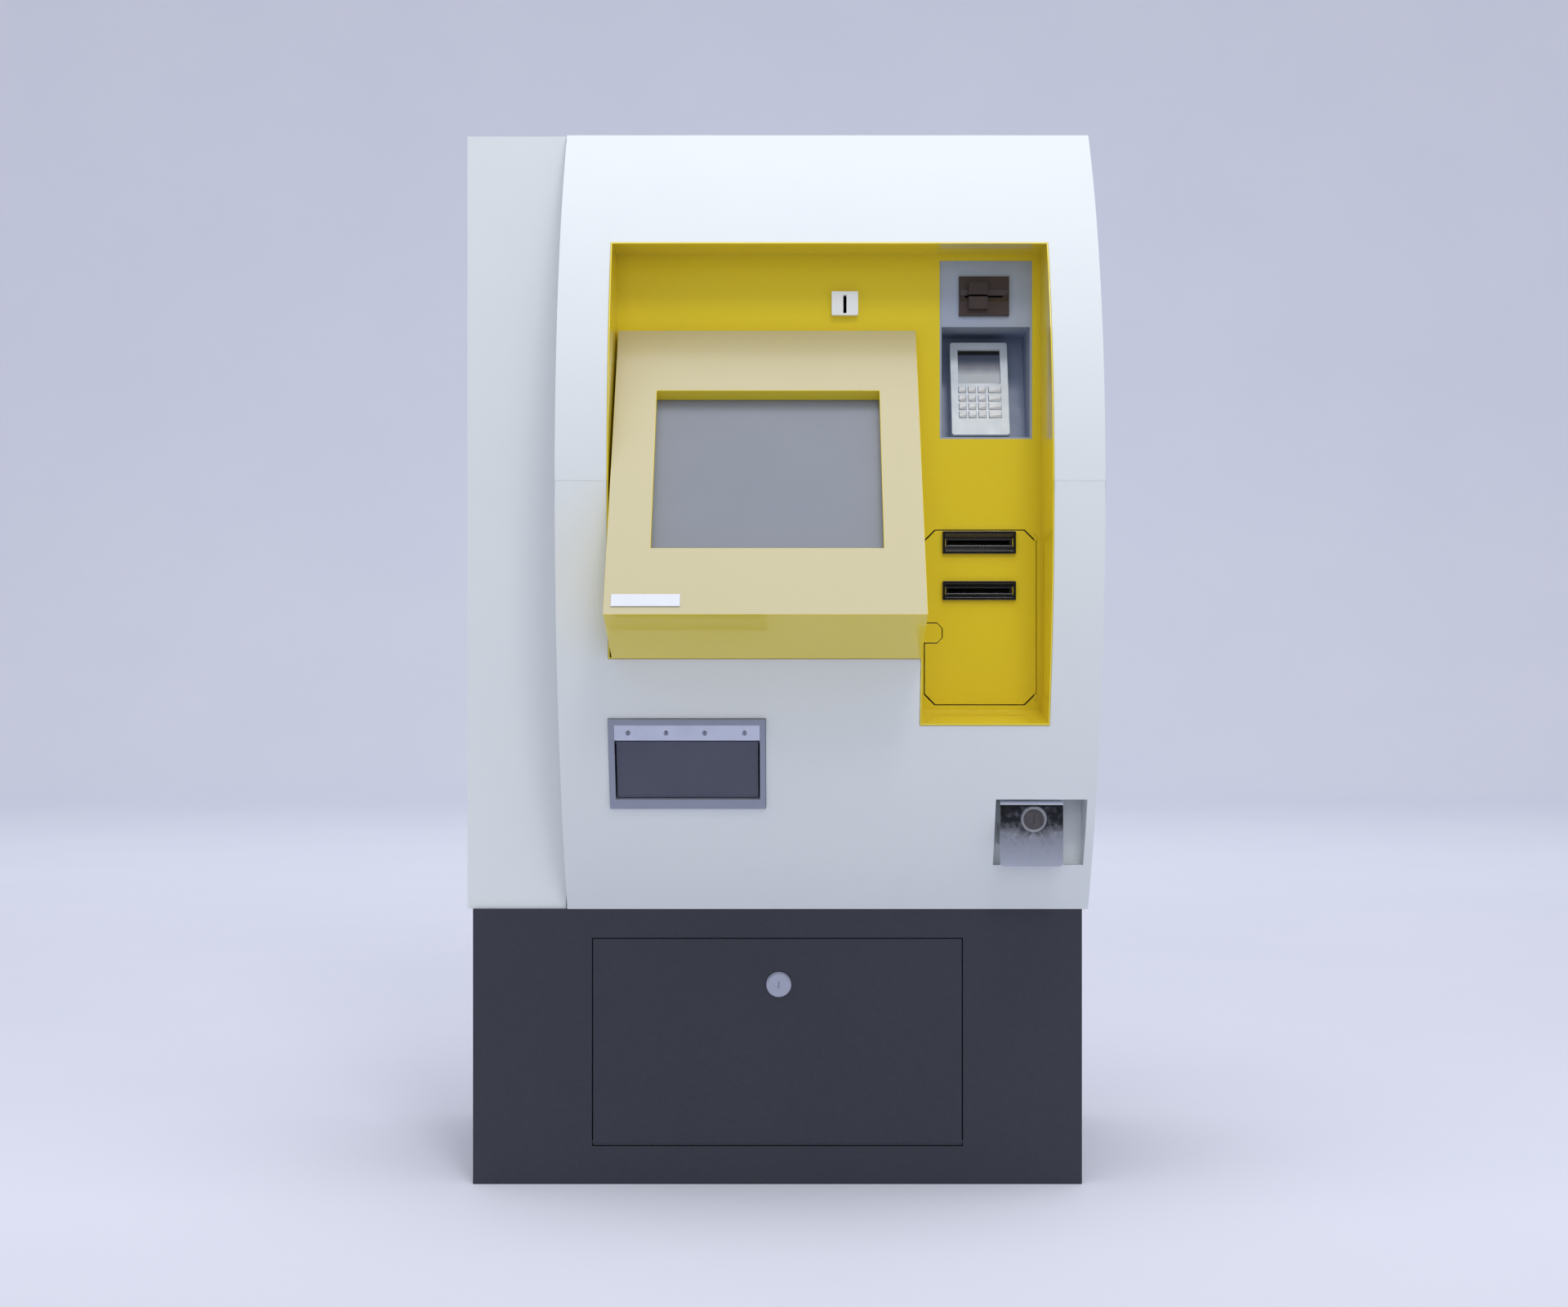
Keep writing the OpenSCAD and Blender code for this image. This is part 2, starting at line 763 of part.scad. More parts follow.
module card_reader_bezel() {
    x = (reader_x[0] + reader_x[1]) / 2;
    z = (reader_z[0] + reader_z[1]) / 2;
    front = insert_y - 5;
    color("#3d3231")
        difference() {
            union() {
                block(reader_x[0], reader_x[1], front, insert_y, reader_z[0], reader_z[1]);
                block(reader_x[0] + 4, reader_x[1] - 4, insert_y, insert_y + insert_t,
                    reader_z[0] + 4, reader_z[1] - 4);
                block(reader_x[0] + 14, reader_x[0] + 43, front - 8, front, z - 20, z + 20);
            }
            difference() {
                x_prism([[front - cut, z - 11], [front - cut, z + 11], [insert_y - 1, z + 2],
                    [insert_y - 1, z - 2]], reader_x[0] + 2, reader_x[1] - 2);
                block(reader_x[0] + 14, reader_x[0] + 43, front - 8, insert_y, z - 20, z + 20);
            }
            block(x - slot_w / 2, x + slot_w / 2, front - 9, insert_y + 4, z - 1.5, z + 1.5);
        }
}

module card_reader_unit() {
    front = insert_y + insert_t;
    x = (reader_x[0] + reader_x[1]) / 2;
    z = (reader_z[0] + reader_z[1]) / 2;
    color("#6d727c")
        difference() {
            block(reader_x[0] + 2, reader_x[1] - 2, front, front + 130, reader_z[0] + 2,
                reader_z[1] - 2);
            block(x - slot_w / 2, x + slot_w / 2, front - cut, front + 90, z - 1.5, z + 1.5);
        }
}

module pin_terminal_body() {
    depth = 9;
    color("#dfe2e8")
        difference() {
            on_terminal()
                difference() {
                    y_pad(-terminal_w / 2, terminal_w / 2, 0, terminal_t, -terminal_h, 0, 4);
                    block(-window_w / 2, window_w / 2, -cut, 6, -window_drop - window_h,
                        -window_drop);
                    for (i = [0 : 3])
                        for (j = [0 : 3])
                            block(key_cols[i] - key_widths[i] / 2 - key_gap,
                                key_cols[i] + key_widths[i] / 2 + key_gap, -cut, depth,
                                -key_rows[j] - key_h / 2 - key_gap,
                                -key_rows[j] + key_h / 2 + key_gap);
                }
            block(cavity_x[0] - cut, cavity_x[1] + cut, insert_y, half_d, cavity_z[0] - 20,
                cavity_z[0] + 0.1);
        }
}

module pin_terminal_window() {
    color("#5d6580")
        on_terminal()
            block(-window_w / 2, window_w / 2, 4.5, 6, -window_drop - window_h, -window_drop);
}

// one sprung key: its top slopes down towards the user
module terminal_key(row, col) {
    foot = 6.5;
    w = key_widths[col] / 2;
    z = -key_rows[row];
    color("#c9cdd8")
        on_terminal()
            translate([key_cols[col], 0, 0])
                x_prism([[foot, z - key_h / 2], [-key_rise + 1.2, z - key_h / 2],
                    [-key_rise, z - key_h / 2 + 2], [-key_rise, z + key_h / 2 - 1],
                    [-key_rise + 1, z + key_h / 2], [foot, z + key_h / 2]], -w, w);
}

module banknote_unit() {
    front = tray_y + plate + 7;
    color("#555a64")
        difference() {
            block(238, 376, front, front + 170, 745, 1012);
            for (z = [note_upper_z, note_lower_z])
                block(258, 353, front - cut, front + 60, (z[0] + z[1]) / 2 - 4,
                    (z[0] + z[1]) / 2 + 4);
            block(250, 364, front + 40, front + 171, 755, 860);
        }
}

module note_service_panel() {
    back = tray_y + plate;
    color("#c0ab2c") {
        difference() {
            panel_outline(0, tray_y, back);
            for (z = [note_upper_z, note_lower_z])
                block(note_x[0] + 5, note_x[1] - 5, tray_y - cut, back + cut, z[0] + 5,
                    z[1] - 5);
        }
        z_bar(panel_barrel_r, panel_axis[0], panel_axis[1], panel_barrel_z[0],
            panel_barrel_z[1]);
        z_bar(panel_pin_r, panel_axis[0], panel_axis[1], panel_barrel_z[0] - 7,
            panel_barrel_z[1] + 7);
    }
}

module banknote_bezels() {
    color("#33363f")
        for (z = [note_upper_z, note_lower_z]) {
            mid = (z[0] + z[1]) / 2;
            difference() {
                union() {
                    y_pad(note_x[0], note_x[1], tray_y - 6, tray_y, z[0], z[1], 1.5);
                    block(note_x[0] + 5, note_x[1] - 5, tray_y, tray_y + plate, z[0] + 5,
                        z[1] - 5);
                }
                x_prism([[tray_y - 7, z[0] + 3], [tray_y - 7, z[1] - 3], [tray_y + 1, mid + 5],
                    [tray_y + 1, mid - 5]], note_x[0] + 4, note_x[1] - 4);
                block(note_x[0] + 8, note_x[1] - 8, tray_y - cut, tray_y + plate + cut, mid - 4,
                    mid + 4);
            }
        }
}

// ---- delivery tray ----

delivery_in_w = 107;
delivery_in_z = [-56, 62];
cheek_y = 14;

module delivery_frame() {
    color("#8088a5")
        on_delivery()
            difference() {
                union() {
                    block(-delivery_w / 2, delivery_w / 2, -3, 3, -delivery_h / 2,
                        delivery_h / 2);
                    block(-delivery_in_w - 4, delivery_in_w + 4, 3, cheek_y,
                        delivery_in_z[0] - 4, delivery_in_z[1] + 4);
                }
                block(-delivery_in_w, delivery_in_w, -4, cheek_y + cut, delivery_in_z[0],
                    delivery_in_z[1]);
                x_bar(flap_pin_r + running, flap_axis[0], flap_axis[1], -delivery_in_w - 3,
                    delivery_in_w + 3);
            }
}

module delivery_chute() {
    wall = 2;
    w = delivery_in_w + 4;
    z0 = delivery_in_z[0] - 4;
    z1 = delivery_in_z[1] + 4;
    color("#9aa0b2")
        on_delivery()
            difference() {
                block(-w, w, cheek_y, 118, z0, z1);
                block(wall - w, w - wall, cheek_y - cut, 118 - wall, z0 + wall, z1 - wall);
                block(-80, 80, 60, 100, z1 - wall - cut, z1 + cut);
            }
}

module delivery_strip() {
    color("#c6c9d8")
        on_delivery()
            difference() {
                block(-delivery_in_w, delivery_in_w, -2, 0, 38, 62);
                for (x = strip_screws)
                    y_bar(2.2, x, 50, -3, 1);
            }
}

module delivery_screws() {
    color("#8a8f99")
        on_delivery()
            for (x = strip_screws) {
                y_bar(4.5, x, 50, -4, -2);
                y_bar(2, x, 50, -3, 2);
            }
}

module delivery_flap() {
    color("#4b4e60")
        on_delivery() {
            block(-104.5, 104.5, 1.5, 4, -54.5, flap_axis[1]);
            x_bar(3, flap_axis[0], flap_axis[1], -104.5, 104.5);
            x_bar(flap_pin_r, flap_axis[0], flap_axis[1], -109.5, 109.5);
        }
}

module ticket_printer() {
    color("#555a64")
        difference() {
            union() {
                block(-215, -50, -276, -110, 740, 800);
                block(-180, -85, -310, -276, 760, 785);
            }
            block(-175, -90, -311, -200, 771, 774);
        }
}

// ---- handle and lock ----

module handle_paddle() {
    round_r = 8;
    back = handle_y + handle_t;
    top = handle_z[1];
    color("#b9bfd0") {
        difference() {
            intersection() {
                union() {
                    block(handle_x[0], handle_x[1], handle_y, back, handle_z[0], top - round_r);
                    block(handle_x[0], handle_x[1], handle_y + round_r, handle_y + 34,
                        top - handle_t, top);
                    difference() {
                        x_bar(round_r, handle_y + round_r, top - round_r, handle_x[0],
                            handle_x[1]);
                        x_bar(round_r - handle_t, handle_y + round_r, top - round_r,
                            handle_x[0] - cut, handle_x[1] + cut);
                        block(handle_x[0] - cut, handle_x[1] + cut, handle_y + round_r,
                            handle_y + 20, top - 20, top - handle_t);
                        block(handle_x[0] - cut, handle_x[1] + cut, back, handle_y + 20,
                            top - 20, top - round_r);
                    }
                }
                y_pad(handle_x[0], handle_x[1], handle_y - cut, handle_y + 40, handle_z[0],
                    top + 10, 6);
            }
            y_bar(barrel_r + 0.8, lock_x, lock_z, handle_y - cut, back + cut);
        }
        for (z = [[499, 521.5], [548.5, 572]])
            z_bar(4.5, handle_axis[0], handle_axis[1], z[0], z[1]);
        z_bar(2.5, handle_axis[0], handle_axis[1], 498, 573);
    }
}

// one tooth's flank points as [radius, sideways offset]
tooth_points = [[pitch_r - 1.8, -1.5], [pitch_r, -0.9], [pitch_r + 1.2, -0.4],
    [pitch_r + 1.2, 0.4], [pitch_r, 0.9], [pitch_r - 1.8, 1.5]];
// the pinion's outline round its centre, as (x, z)
pinion_outline = [for (i = [0 : gear_teeth - 1])
    for (t = tooth_points)
        let (a = i * 360 / gear_teeth)
            [t[0] * cos(a) - t[1] * sin(a), t[0] * sin(a) + t[1] * cos(a)]];

// straight rack: side is +1 when its teeth point to -X, -1 when they point to +X
module rack(side, bar_x, z_lo, z_hi, below, above) {
    pitch_x = lock_x + side * pitch_r;
    tip_x = pitch_x - side * 1.2;
    root_x = pitch_x + side * 1.9;
    first = lock_z + tooth_pitch / 2;
    union() {
        block(min(root_x, bar_x), max(root_x, bar_x), rod_y[0], rod_y[1], z_lo, z_hi);
        for (i = [-below : above])
            translate([0, 0, first + i * tooth_pitch])
                y_prism([[root_x + side * 0.5, -1.7], [root_x, -1.6], [pitch_x, -0.95],
                    [tip_x, -0.5], [tip_x, 0.5], [pitch_x, 0.95], [root_x, 1.6],
                    [root_x + side * 0.5, 1.7]], rod_y[0], rod_y[1]);
    }
}

module lock_case() {
    wall = 2;
    front = pocket_y + 2.5;
    back = rod_y[1] + 6;
    color("#8a8f99")
        difference() {
            union() {
                block(350, 414, front, back, 533, 593);
                y_bar(barrel_r, lock_x, lock_z, handle_y, front);
            }
            block(350 + wall, 414 - wall, rod_y[0] - 2, back - wall, 533 + wall, 593 - wall);
            for (x = [upper_rod_x, lower_rod_x])
                block(x[0] - 2.5, x[1] + 0.7, rod_y[0] - 0.7, rod_y[1] + 0.7, 530, 600);
            block(lower_rod_x[1] - 1, lower_rod_x[1] + 6, rod_y[0] - 0.7, rod_y[1] + 0.7, 530,
                600);
            block(upper_rod_x[0] - 6, upper_rod_x[0] + 1, rod_y[0] - 0.7, rod_y[1] + 0.7, 530,
                600);
            y_bar(8 + running, lock_x, lock_z, handle_y - cut, back + cut);
            y_bar(plug_r + 0.1, lock_x, lock_z, handle_y - cut, handle_y + 3.2);
        }
}

module lock_plug() {
    color("#8f9098")
        difference() {
            union() {
                y_bar(plug_r, lock_x, lock_z, handle_y, handle_y + 3);
                y_bar(8, lock_x, lock_z, handle_y + 2, rod_y[1] + 8);
                translate([lock_x, 0, lock_z])
                    y_prism(pinion_outline, rod_y[0], rod_y[1]);
            }
            block(lock_x - 1, lock_x + 1, handle_y - cut, handle_y + 2, lock_z - 5.5,
                lock_z + 5.5);
        }
}

module upper_lock_rod() {
    color("#a9adb6") {
        rack(1, upper_rod_x[1], 534, 600, 6, 3);
        block(upper_rod_x[0], upper_rod_x[1], rod_y[0], rod_y[1], 600, upper_keep_z - 4);
    }
}

module lower_lock_rod() {
    color("#a9adb6") {
        rack(-1, lower_rod_x[0], 524, 592, 4, 5);
        block(lower_rod_x[0], lower_rod_x[1], rod_y[0], rod_y[1], lower_keep_z + 10, 524);
    }
}

plinth_cabinet();
cable_gland();
power_unit();
cabinet_shell();
side_fascia();
rear_vent_panel();
case_screws();
equipment_shelf();
control_computer();
coin_cash_box();
hinge_brackets();
hinge_pins();
lock_keepers();
hatch_panel();
hatch_lock_barrel();
hatch_lock_plug();
door_shell();
hinge_arms();
fascia_tray();
display_housing();
display_glass();
display_panel();
nameplate();
coin_slot_bezel();
coin_validator();
reader_insert();
card_reader_bezel();
card_reader_unit();
pin_terminal_body();
pin_terminal_window();
banknote_unit();
delivery_frame();
delivery_chute();
delivery_strip();
delivery_screws();
ticket_printer();
lock_case();
delivery_flap();
note_service_panel();
banknote_bezels();
handle_paddle();
lock_plug();
upper_lock_rod();
lower_lock_rod();
terminal_key(0, 0);  // key_r1c1
terminal_key(0, 1);  // key_r1c2
terminal_key(0, 2);  // key_r1c3
terminal_key(0, 3);  // key_r1c4
terminal_key(1, 0);  // key_r2c1
terminal_key(1, 1);  // key_r2c2
terminal_key(1, 2);  // key_r2c3
terminal_key(1, 3);  // key_r2c4
terminal_key(2, 0);  // key_r3c1
terminal_key(2, 1);  // key_r3c2
terminal_key(2, 2);  // key_r3c3
terminal_key(2, 3);  // key_r3c4
terminal_key(3, 0);  // key_r4c1
terminal_key(3, 1);  // key_r4c2
terminal_key(3, 2);  // key_r4c3
terminal_key(3, 3);  // key_r4c4
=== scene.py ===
"""Looks of a free-standing self-service payment terminal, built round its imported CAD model.

Everything is in metres, in the model's own frame: +Z up, the front faces -Y, and the origin is
the centre of the plinth's footprint on the floor.
"""

import json
import math

import bmesh
import bpy
from mathutils import Matrix, Vector

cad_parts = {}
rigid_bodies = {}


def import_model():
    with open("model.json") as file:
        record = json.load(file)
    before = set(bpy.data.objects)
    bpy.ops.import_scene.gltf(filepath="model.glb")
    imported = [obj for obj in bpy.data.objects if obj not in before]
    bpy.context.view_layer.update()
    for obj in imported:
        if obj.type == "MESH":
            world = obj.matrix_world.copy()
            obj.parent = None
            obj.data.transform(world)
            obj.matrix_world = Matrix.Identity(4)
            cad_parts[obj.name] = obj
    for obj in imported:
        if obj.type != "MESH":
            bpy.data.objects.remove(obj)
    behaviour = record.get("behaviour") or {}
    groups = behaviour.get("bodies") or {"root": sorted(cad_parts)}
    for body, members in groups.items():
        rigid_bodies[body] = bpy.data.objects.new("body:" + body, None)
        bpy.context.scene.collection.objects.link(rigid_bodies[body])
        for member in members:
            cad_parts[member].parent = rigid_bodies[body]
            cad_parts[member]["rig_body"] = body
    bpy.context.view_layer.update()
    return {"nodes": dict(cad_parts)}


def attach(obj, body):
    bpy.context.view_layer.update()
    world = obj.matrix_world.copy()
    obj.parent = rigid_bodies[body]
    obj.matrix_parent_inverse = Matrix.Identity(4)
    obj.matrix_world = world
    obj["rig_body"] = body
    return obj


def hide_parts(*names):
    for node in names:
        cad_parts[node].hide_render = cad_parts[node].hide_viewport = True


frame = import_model()
MM = 0.001


# ---- camera, floor and lights ----

CAMERA_AT = (0.010, -3.585, 0.810)
CAMERA_LENS = 50
FLOOR_FRONT = -6.9
FLOOR_BACK = 8.2
SWEEP_RADIUS = 2.6
WALL_TOP = 9.0
SWEEP_STEPS = 24
STAGE_HALF_WIDTH = 12.0
FLAG_HALF_WIDTH = 5.0
FLAG_TOP = 3.2
FLAG_GAP = 0.1


def make_camera():
    """Eye-level camera that looks straight along +Y."""
    data = bpy.data.cameras.new("camera")
    data.lens = CAMERA_LENS
    data.sensor_width = 36
    camera = bpy.data.objects.new("camera", data)
    camera.location = CAMERA_AT
    camera.rotation_euler = (math.radians(90), 0, 0)
    bpy.context.scene.collection.objects.link(camera)
    bpy.context.scene.camera = camera


def add_object(name, mesh):
    obj = bpy.data.objects.new(name, mesh)
    bpy.context.scene.collection.objects.link(obj)
    return obj


def sweep_profile():
    """(y, z) points of a floor that curves up into a wall."""
    points = [(FLOOR_FRONT, 0.0), (-2.0, 0.0), (3.0, 0.0), (FLOOR_BACK, 0.0)]
    for i in range(1, SWEEP_STEPS + 1):
        a = math.radians(90 * i / SWEEP_STEPS)
        y = FLOOR_BACK + SWEEP_RADIUS * math.sin(a)
        points.append((y, SWEEP_RADIUS * (1 - math.cos(a))))
    points.append((FLOOR_BACK + SWEEP_RADIUS, WALL_TOP))
    return points


def make_floor():
    """Paper floor that curves up into the wall behind the object."""
    profile = sweep_profile()
    verts = []
    for y, z in profile:
        verts += [(-STAGE_HALF_WIDTH, y, z), (STAGE_HALF_WIDTH, y, z)]
    faces = [(2 * i, 2 * i + 1, 2 * i + 3, 2 * i + 2) for i in range(len(profile) - 1)]
    mesh = bpy.data.meshes.new("floor")
    mesh.from_pydata(verts, [], faces)
    mesh.polygons.foreach_set("use_smooth", [True] * len(faces))
    floor = add_object("floor", mesh)
    floor.data.materials.append(paper())


def make_flag():
    """Black cloth on a stand behind the camera, which gives the chrome its dark half."""
    mesh = bpy.data.meshes.new("flag")
    x, y, top = FLAG_HALF_WIDTH, FLOOR_FRONT - FLAG_GAP, FLAG_TOP
    mesh.from_pydata([(-x, y, 0), (x, y, 0), (x, y, top), (-x, y, top)], [], [(0, 1, 2, 3)])
    flag = add_object("flag", mesh)
    cloth = Finish("flag_cloth", (0.006, 0.006, 0.008), 0.95)
    flag.data.materials.append(cloth.material)
    flag.visible_camera = False


def add_light(name, place, target, size, watts, colour):
    """A rectangular softbox that faces its target."""
    data = bpy.data.lights.new(name, "AREA")
    data.shape = "RECTANGLE"
    data.size, data.size_y = size
    data.energy = watts
    data.color = colour
    light = bpy.data.objects.new(name, data)
    light.location = place
    light.rotation_euler = (Vector(target) - Vector(place)).to_track_quat("-Z", "Y").to_euler()
    bpy.context.scene.collection.objects.link(light)
    return light


def make_lights():
    """Soft overhead, a smaller key in front, and fills for the front and the backdrop."""
    cool = (0.92, 0.95, 1.0)
    neutral = (1.0, 0.99, 0.98)
    add_light("overhead", (0.0, -1.3, 4.3), (0.0, -0.5, 0.0), (3.4, 2.2), 47, cool)
    add_light("key", (0.8, -3.9, 4.5), (0.2, 0.0, 1.0), (0.9, 0.9), 41, neutral)
    fill = add_light("front_fill", (0.4, -5.0, 1.9), (0.0, 0.0, 0.9), (3.4, 1.8), 42, cool)
    fill.visible_glossy = False
    add_light("backdrop", (0.0, 4.8, 3.6), (0.0, 6.0, 0.0), (9.0, 2.4), 52, cool)
    world = bpy.data.worlds.new("studio")
    world.use_nodes = True
    background = world.node_tree.nodes["Background"]
    background.inputs["Color"].default_value = (0.66, 0.675, 0.73, 1)
    background.inputs["Strength"].default_value = 1.0
    bpy.context.scene.world = world
    bpy.context.scene.view_settings.view_transform = "Standard"


# ---- materials ----

# sockets of a Mix node that mixes colours
MIX_A = 6
MIX_B = 7
MIX_RESULT = 2


class Finish:
    """A Principled material whose textures lie in the object's own coordinates."""

    def __init__(self, name, colour, roughness, **constants):
        self.material = bpy.data.materials.new(name)
        self.material.use_nodes = True
        self.tree = self.material.node_tree
        self.shader = self.tree.nodes["Principled BSDF"]
        self.coords = self.tree.nodes.new("ShaderNodeTexCoord").outputs["Object"]
        self.normal = None
        self.colour = (*colour, 1)
        self.shader.inputs["Base Color"].default_value = self.colour
        self.shader.inputs["Roughness"].default_value = roughness
        for socket, value in constants.items():
            self.shader.inputs[socket.replace("_", " ")].default_value = value

    def add(self, kind, **settings):
        node = self.tree.nodes.new("ShaderNode" + kind)
        for key, value in settings.items():
            setattr(node, key, value)
        return node

    def link(self, source, target):
        self.tree.links.new(source, target)

    def stretched(self, scale):
        """Coordinates scaled by a different amount along each axis."""
        node = self.add("Mapping")
        node.inputs["Scale"].default_value = scale
        self.link(self.coords, node.inputs["Vector"])
        return node.outputs["Vector"]

    def noise(self, scale, detail=3.0, roughness=0.55, stretch=None):
        node = self.add("TexNoise")
        node.inputs["Scale"].default_value = scale
        node.inputs["Detail"].default_value = detail
        node.inputs["Roughness"].default_value = roughness
        source = self.stretched(stretch) if stretch else self.coords
        self.link(source, node.inputs["Vector"])
        return node.outputs["Fac"]

    def cells(self, scale):
        node = self.add("TexVoronoi")
        node.inputs["Scale"].default_value = scale
        self.link(self.coords, node.inputs["Vector"])
        return node.outputs["Distance"]

    def along(self, axis):
        """A coordinate of the surface point, in metres."""
        node = self.add("SeparateXYZ")
        self.link(self.coords, node.inputs["Vector"])
        return node.outputs[axis]

    def between(self, source, low, high, low_to, high_to):
        """Source's range low to high as low_to to high_to, clamped."""
        node = self.add("MapRange")
        self.link(source, node.inputs["Value"])
        values = {"From Min": low, "From Max": high, "To Min": low_to, "To Max": high_to}
        for socket, value in values.items():
            node.inputs[socket].default_value = value
        return node.outputs["Result"]

    def tint(self, factor, other):
        """Mixes the base colour towards another one where factor is high."""
        node = self.add("Mix", data_type="RGBA")
        self.link(factor, node.inputs["Factor"])
        base = self.shader.inputs["Base Color"]
        if base.is_linked:
            self.link(base.links[0].from_socket, node.inputs[MIX_A])
        else:
            node.inputs[MIX_A].default_value = self.colour
        node.inputs[MIX_B].default_value = (*other, 1)
        self.link(node.outputs[MIX_RESULT], base)

    def bump(self, height, distance, strength=1.0):
        node = self.add("Bump")
        node.inputs["Distance"].default_value = distance
        node.inputs["Strength"].default_value = strength
        self.link(height, node.inputs["Height"])
        if self.normal is not None:
            self.link(self.normal, node.inputs["Normal"])
        self.normal = node.outputs["Normal"]
        self.link(self.normal, self.shader.inputs["Normal"])

    def gloss(self, source):
        """Drives the roughness."""
        self.link(source, self.shader.inputs["Roughness"])


def paper():
    """Backdrop paper, with painted shade that makes it a little darker near the camera."""
    f = Finish("backdrop_paper", (0.80, 0.81, 0.90), 0.9)
    f.tint(f.between(f.noise(1.3), 0.35, 0.65, 0.0, 1.0), (0.785, 0.797, 0.89))
    # painted shade: the floor darkens towards the camera
    f.tint(f.between(f.along("Y"), -0.4, -2.0, 0.0, 1.0), (0.61, 0.625, 0.705))
    return f.material


def white_paint():
    """Satin powder coat with a fine orange peel."""
    f = Finish("white_paint", (0.735, 0.765, 0.775), 0.48, Specular_IOR_Level=0.3)
    f.tint(f.between(f.noise(7.0, 1.0), 0.3, 0.7, 0.0, 0.5), (0.72, 0.752, 0.765))
    f.bump(f.noise(420, 2.0), 0.00004)
    f.bump(f.noise(60, 2.0), 0.00012, 0.6)
    f.gloss(f.between(f.noise(16.0, 1.0), 0.3, 0.7, 0.45, 0.52))
    return f.material


def yellow_paint():
    """Glossy lacquer."""
    f = Finish("yellow_paint", (0.80, 0.635, 0.022), 0.30, Coat_Weight=0.6, Coat_Roughness=0.06)
    f.tint(f.between(f.noise(9.0, 1.0), 0.3, 0.7, 0.0, 0.4), (0.785, 0.615, 0.020))
    f.bump(f.noise(380, 2.0), 0.00003)
    f.gloss(f.between(f.noise(22.0, 1.0), 0.3, 0.7, 0.29, 0.33))
    return f.material


def cream_paint():
    """The yellow lacquer of the sloping display face, paled by a painted reflection of the overhead
    light.
    """
    f = Finish("cream_paint", (0.53, 0.465, 0.25), 0.30, Coat_Weight=0.4, Coat_Roughness=0.14)
    f.tint(f.between(f.noise(8.0, 1.0), 0.3, 0.7, 0.0, 0.35), (0.52, 0.45, 0.235))
    f.bump(f.noise(380, 2.0), 0.00003)
    f.gloss(f.between(f.noise(18.0, 1.0), 0.3, 0.7, 0.28, 0.32))
    return f.material


def plinth_paint():
    """Coarse dark structure paint."""
    f = Finish("plinth_paint", (0.032, 0.035, 0.050), 0.55, Specular_IOR_Level=0.45)
    grain = f.noise(520, 4.0, 0.62)
    f.tint(f.between(grain, 0.52, 0.78, 0.0, 0.55), (0.058, 0.063, 0.084))
    f.tint(f.between(f.noise(5.0), 0.4, 0.75, 0.0, 0.5), (0.028, 0.031, 0.045))
    f.bump(f.cells(430), 0.00022, 0.7)
    f.bump(grain, 0.0003, 0.8)
    f.gloss(f.between(f.noise(90), 0.3, 0.7, 0.44, 0.62))
    return f.material


def moulded(name, colour, roughness, other, grain=700, **constants):
    """Moulded plastic: fine spark-eroded grain and a slightly uneven colour."""
    f = Finish(name, colour, roughness, **constants)
    f.tint(f.between(f.noise(14.0), 0.35, 0.7, 0.0, 0.7), other)
    f.bump(f.noise(grain, 3.0), 0.00005, 0.8)
    f.gloss(f.between(f.noise(60), 0.3, 0.7, roughness - 0.05, roughness + 0.06))
    return f.material


def metal(name, colour, roughness, other, lines=(1.0, 1.0, 1.0), grain=300, depth=0.00003):
    """Bare metal with a grain that can be drawn out into brushed lines."""
    f = Finish(name, colour, roughness, Metallic=1.0)
    streaks = f.noise(grain, 4.0, 0.6, lines)
    f.tint(f.between(streaks, 0.35, 0.7, 0.0, 0.8), other)
    f.bump(streaks, depth, 0.7)
    f.gloss(f.between(f.noise(40), 0.3, 0.7, roughness * 0.75, roughness * 1.3))
    return f.material


def chrome_plate():
    """Polished plating with faint upright polishing lines."""
    f = Finish("chrome_plate", (0.80, 0.83, 0.92), 0.05, Metallic=1.0)
    f.tint(f.between(f.noise(30), 0.4, 0.7, 0.0, 0.6), (0.76, 0.79, 0.88))
    f.bump(f.noise(900, 2.0, 0.6, (1.0, 1.0, 0.05)), 0.000002, 0.08)
    f.gloss(f.between(f.noise(120, 4.0), 0.4, 0.8, 0.035, 0.09))
    return f.material


def screen_glass():
    """Etched touch glass over a dark screen."""
    f = Finish("screen_glass", (0.165, 0.18, 0.225), 0.34, Coat_Weight=0.35, Coat_Roughness=0.3)
    f.tint(f.between(f.noise(6.0, 4.0), 0.45, 0.75, 0.0, 0.4), (0.175, 0.188, 0.232))
    f.bump(f.noise(1500, 1.0), 0.00001, 0.5)
    f.gloss(f.between(f.noise(11.0, 4.0), 0.35, 0.75, 0.30, 0.40))
    return f.material


# heights between which the painted shadow along the top and the painted light on the lower part fade
# in
WINDOW_PAINTED_SHADOW_Z = (1.2700, 1.2706)
WINDOW_PAINTED_LIGHT_Z = (1.2485, 1.2385)


def terminal_window():
    """Glass over a small panel: a black painted shadow along the top, a slate field, and painted light
    that makes the lower part pale.
    """
    f = Finish("terminal_window", (0.085, 0.105, 0.17), 0.42, Coat_Weight=0.15, Coat_Roughness=0.2)
    f.tint(f.between(f.noise(40.0), 0.4, 0.7, 0.0, 0.5), (0.09, 0.115, 0.185))
    height = f.along("Z")
    # painted shadow under the top edge of the window's recess
    f.tint(f.between(height, *WINDOW_PAINTED_SHADOW_Z, 0.0, 1.0), (0.006, 0.007, 0.010))
    # painted light on the lower part, below the shadow cast by the cavity's top
    f.tint(f.between(height, *WINDOW_PAINTED_LIGHT_Z, 0.0, 1.0), (0.40, 0.45, 0.52))
    f.gloss(f.between(f.noise(70.0, 4.0), 0.4, 0.8, 0.38, 0.46))
    return f.material


